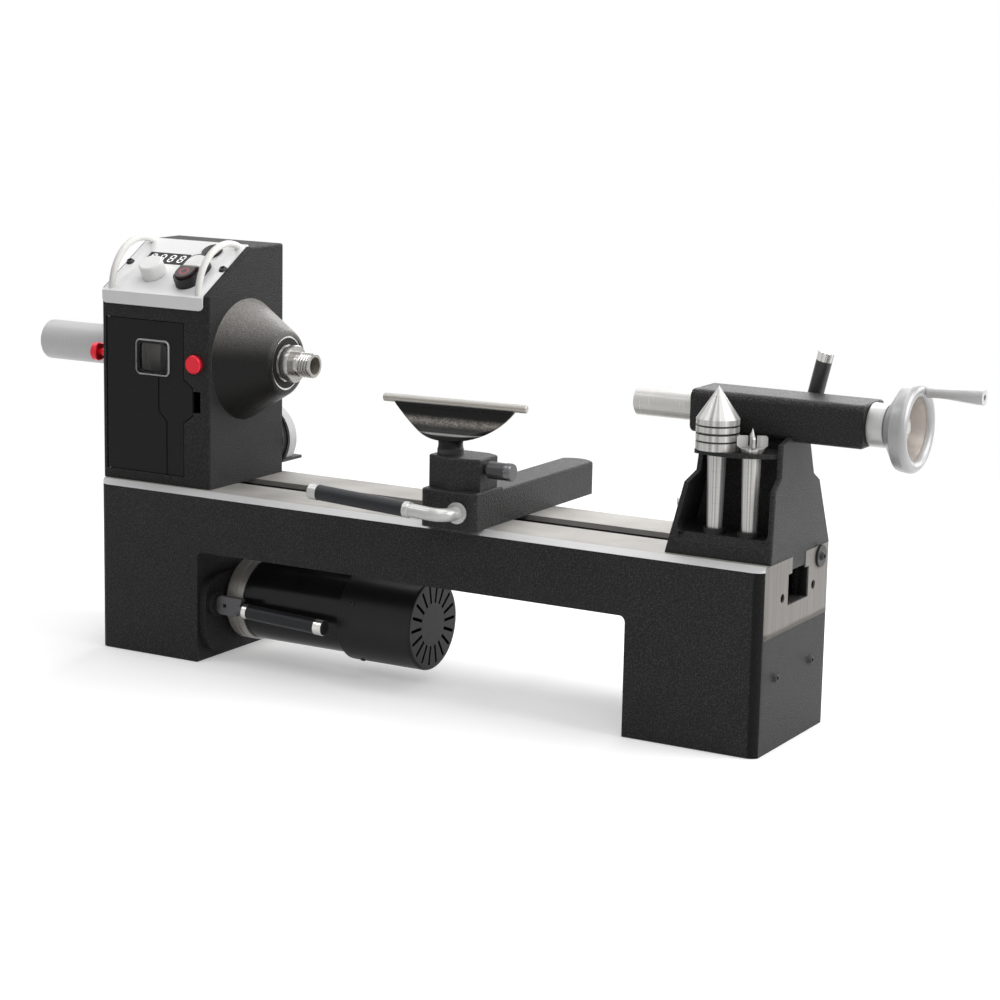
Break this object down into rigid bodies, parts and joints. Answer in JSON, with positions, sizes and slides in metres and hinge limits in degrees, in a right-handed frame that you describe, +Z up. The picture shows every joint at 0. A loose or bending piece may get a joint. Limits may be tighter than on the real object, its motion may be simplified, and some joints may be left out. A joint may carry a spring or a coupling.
{
  "type": "benchtop wood lathe",
  "caption": "Benchtop wood lathe: arched cast bed, belt headstock with slanted control panel, banjo with scooped tool rest, quill tailstock, swinging motor below the bed.",
  "frame": {"origin": "on the floor at the centre of the four bench holes, below the spindle axis at mid bed", "axes": "+X along the bed from headstock to tailstock, +Y to the back, +Z up"},
  "size_m": [1.0371, 0.2767, 0.4249],
  "materials": {
    "bed_paint": "fine black texture paint, ground ways",
    "cast_paint": "fine black texture paint",
    "wrinkle_paint": "black wrinkle paint",
    "black_steel": "black oxide",
    "bearing": "ground rings with a black seal",
    "panel_white": "smooth white paint",
    "rod_white": "satin white coat",
    "display": "dark glossy pane with white segment digits",
    "black_plastic": "matt moulded",
    "door_plastic": "matt moulded",
    "belt_rubber": "matt",
    "aluminium": "satin",
    "turned_steel": "bright turned",
    "pulley": "turned",
    "window": "clear, bevelled rim",
    "red_anodised": "red anodised",
    "white_plastic": "smooth moulded",
    "red_plastic": "smooth moulded",
    "motor_bell": "machined",
    "motor_black": "satin black",
    "fan_plastic": "satin moulded",
    "grey_steel": "dark grey satin",
    "chrome": "polished",
    "grip_rubber": "matt",
    "knob": "black grip, bright fluted end"
  },
  "bodies": {
    "machine": {"bed": "bed_paint", "stop_washer": "black_steel", "button_screws": "black_steel", "headstock": "cast_paint", "nose_housing": "wrinkle_paint", "front_bearing": "bearing", "rear_bearing": "bearing", "control_panel": "panel_white", "carry_handle_left": "rod_white", "carry_handle_right": "rod_white", "display_window": "display", "switch_bezel": "black_plastic", "direction_bezel": "black_plastic", "drive_belt": "belt_rubber", "rear_bracket": "black_plastic", "rear_ring": "aluminium", "mains_gland": "black_plastic", "motor_pivot_bolt": "black_steel"},
    "spindle_unit": {"spindle": "turned_steel", "spindle_pulley": "pulley", "outboard_handwheel": "aluminium"},
    "door": {"belt_door": "door_plastic", "door_window": "window", "door_hinge_pins": "turned_steel"},
    "spindle_lock": {"lock_button": "red_anodised"},
    "index_pin": {"index_knob": "red_anodised"},
    "speed_dial": {"speed_knob": "white_plastic"},
    "start": {"start_button": "white_plastic"},
    "stop": {"stop_button": "red_plastic"},
    "rocker": {"direction_rocker": "black_plastic"},
    "motor": {"motor_plate": "cast_paint", "motor_end_bell": "motor_bell", "motor_body": "motor_black", "fan_cover": "fan_plastic", "tension_bracket": "grey_steel", "tension_rod": "chrome", "tension_grip": "grip_rubber"},
    "rotor": {"motor_rotor": "turned_steel", "motor_pulley": "pulley"},
    "rest_clamp": {"rest_clamp_plate": "black_steel"},
    "rest_bolt": {"rest_eye_bolt": "black_steel"},
    "banjo_arm": {"banjo": "cast_paint"},
    "cam": {"cam_lever": "chrome", "cam_lever_grip": "grip_rubber"},
    "post": {"tool_post": "turned_steel"},
    "rest": {"tool_rest": "cast_paint", "rest_rod": "turned_steel"},
    "post_lock": {"post_lock_knob": "knob"},
    "tail": {"tailstock": "cast_paint", "tail_clamp": "black_steel", "screw_collar": "turned_steel"},
    "tail_lever": {"tailstock_lever": "knob"},
    "quill_sleeve": {"quill": "turned_steel"},
    "tail_wheel": {"tail_handwheel": "aluminium", "quill_screw": "turned_steel"},
    "crank": {"crank_handle": "aluminium"},
    "quill_lock": {"quill_lock_lever": "knob"},
    "live_centre": {"live_centre_shank": "turned_steel"},
    "live_cone": {"live_centre_cone": "turned_steel"},
    "spur": {"spur_centre": "turned_steel"}
  },
  "joints": [
    {"name": "spindle_spin", "type": "hinge", "parent": "machine", "child": "spindle_unit", "pos_m": [0, 0, 0.304], "axis": [1, 0, 0], "continuous": true},
    {"name": "door_swing", "type": "hinge", "parent": "machine", "child": "door", "pos_m": [-0.371, -0.063, 0.188], "axis": [0, 0, -1], "range_deg": [0, 100]},
    {"name": "spindle_lock_push", "type": "slide", "parent": "machine", "child": "spindle_lock", "axis": [0, 1, 0], "range_m": [0, 0.006], "stiffness_N_per_m": 300, "springref_m": -0.002},
    {"name": "index_push", "type": "slide", "parent": "machine", "child": "index_pin", "axis": [1, 0, 0], "range_m": [0, 0.006]},
    {"name": "speed_turn", "type": "hinge", "parent": "machine", "child": "speed_dial", "pos_m": [-0.33055, -0.03845, 0.3864], "axis": [0, -0.516, 0.8566], "range_deg": [-135, 135]},
    {"name": "start_press", "type": "slide", "parent": "machine", "child": "start", "axis": [0, 0.516, -0.8566], "range_m": [0, 0.0025], "stiffness_N_per_m": 600, "springref_m": -0.001},
    {"name": "stop_press", "type": "slide", "parent": "machine", "child": "stop", "axis": [0, 0.516, -0.8566], "range_m": [0, 0.0025], "stiffness_N_per_m": 600, "springref_m": -0.001},
    {"name": "direction_rock", "type": "hinge", "parent": "machine", "child": "rocker", "pos_m": [-0.28495, -0.00182, 0.40893], "axis": [1, 0, 0], "range_deg": [-16, 0]},
    {"name": "motor_lift", "type": "hinge", "parent": "machine", "child": "motor", "pos_m": [-0.2495, 0.062, 0.056], "axis": [-1, 0, 0], "range_deg": [0, 6]},
    {"name": "rotor_spin", "type": "hinge", "parent": "motor", "child": "rotor", "pos_m": [0, 0, 0.056], "axis": [1, 0, 0], "continuous": true},
    {"name": "rest_travel", "type": "slide", "parent": "machine", "child": "rest_clamp", "axis": [1, 0, 0], "range_m": [-0.18, 0.08]},
    {"name": "rest_swivel", "type": "hinge", "parent": "rest_clamp", "child": "rest_bolt", "pos_m": [0.0635, 0, 0.1495], "axis": [0, 0, -1], "range_deg": [-45, 45]},
    {"name": "banjo_reach", "type": "slide", "parent": "rest_bolt", "child": "banjo_arm", "axis": [0, 1, 0], "range_m": [-0.08, 0.035]},
    {"name": "cam_turn", "type": "hinge", "parent": "banjo_arm", "child": "cam", "pos_m": [0.0635, 0, 0.194], "axis": [0, 1, 0], "range_deg": [0, 110]},
    {"name": "post_height", "type": "slide", "parent": "banjo_arm", "child": "post", "axis": [0, 0, 1], "range_m": [-0.0055, 0.035]},
    {"name": "rest_turn", "type": "hinge", "parent": "post", "child": "rest", "pos_m": [0.0395, -0.065, 0.177], "axis": [0, 0, 1], "range_deg": [-80, 80]},
    {"name": "post_lock_turn", "type": "hinge", "parent": "banjo_arm", "child": "post_lock", "pos_m": [0.0815, -0.065, 0.2335], "axis": [1, 0, 0], "range_deg": [-180, 0]},
    {"name": "tail_travel", "type": "slide", "parent": "machine", "child": "tail", "axis": [1, 0, 0], "range_m": [-0.12, 0]},
    {"name": "tail_lever_turn", "type": "hinge", "parent": "tail", "child": "tail_lever", "pos_m": [0.3195, 0, 0.194], "axis": [0, 1, 0], "range_deg": [0, 90]},
    {"name": "tail_wheel_turn", "type": "hinge", "parent": "tail", "child": "tail_wheel", "pos_m": [0.4858, 0, 0.304], "axis": [-1, 0, 0], "range_deg": [-5265, 450]},
    {"name": "quill_feed", "type": "slide", "parent": "tail", "child": "quill_sleeve", "axis": [-1, 0, 0], "range_m": [-0.0586, 0.0051]},
    {"name": "crank_spin", "type": "hinge", "parent": "tail_wheel", "child": "crank", "pos_m": [0.4858, 0.0117, 0.33614], "axis": [1, 0, 0], "continuous": true},
    {"name": "quill_lock_turn", "type": "hinge", "parent": "tail", "child": "quill_lock", "pos_m": [0.365, 0.036, 0.304], "axis": [0, 1, 0], "range_deg": [-45, 45]},
    {"name": "live_lift", "type": "slide", "parent": "tail", "child": "live_centre", "axis": [0, 0, 1], "range_m": [0, 0.065]},
    {"name": "live_spin", "type": "hinge", "parent": "live_centre", "child": "live_cone", "pos_m": [0.311, -0.049, 0.2915], "axis": [0, 0, 1], "continuous": true},
    {"name": "spur_lift", "type": "slide", "parent": "tail", "child": "spur", "axis": [0, 0, 1], "range_m": [0, 0.065]}
  ],
  "couplings": [
    {"joint": "rotor_spin", "follows": "spindle_spin", "ratio": 2.7368},
    {"joint": "quill_feed", "follows": "tail_wheel_turn", "m_per_rad": 0.00063662}
  ]
}
